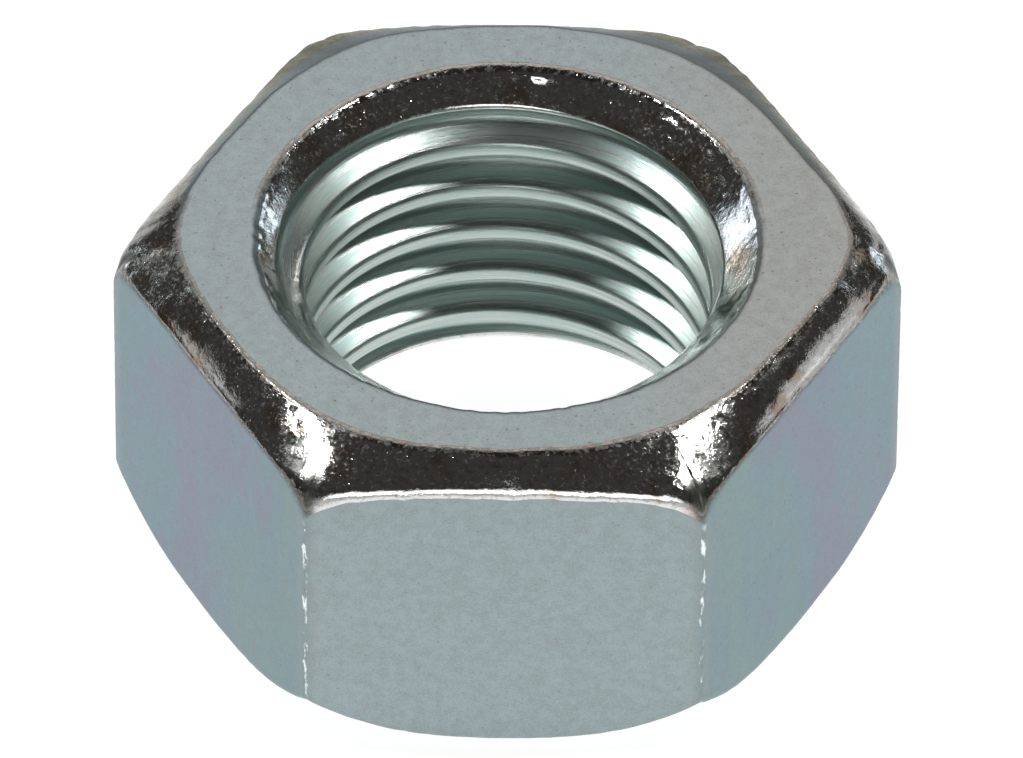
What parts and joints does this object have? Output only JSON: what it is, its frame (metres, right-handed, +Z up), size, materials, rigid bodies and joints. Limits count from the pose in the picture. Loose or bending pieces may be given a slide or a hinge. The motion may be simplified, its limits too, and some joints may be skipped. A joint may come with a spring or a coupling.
{
  "type": "hex nut",
  "caption": "Steel hexagon nut with a right-hand M16 by 2 thread, chamfered on both faces and countersunk at both ends of the bore.",
  "frame": {"origin": "centre of the bearing face underneath, on the axis of the bore", "axes": "+Z up the bore, from the bearing face to the other face; two flats face -Y and +Y, and two corners point along -X and +X"},
  "size_m": [0.0276, 0.024, 0.013],
  "materials": {
    "zinc_plated_steel": "bright zinc plating with a faint blue passivate; satin flats, polished chamfers and countersinks"
  },
  "bodies": {
    "root": {"hex_nut": "zinc_plated_steel"}
  },
  "joints": []
}
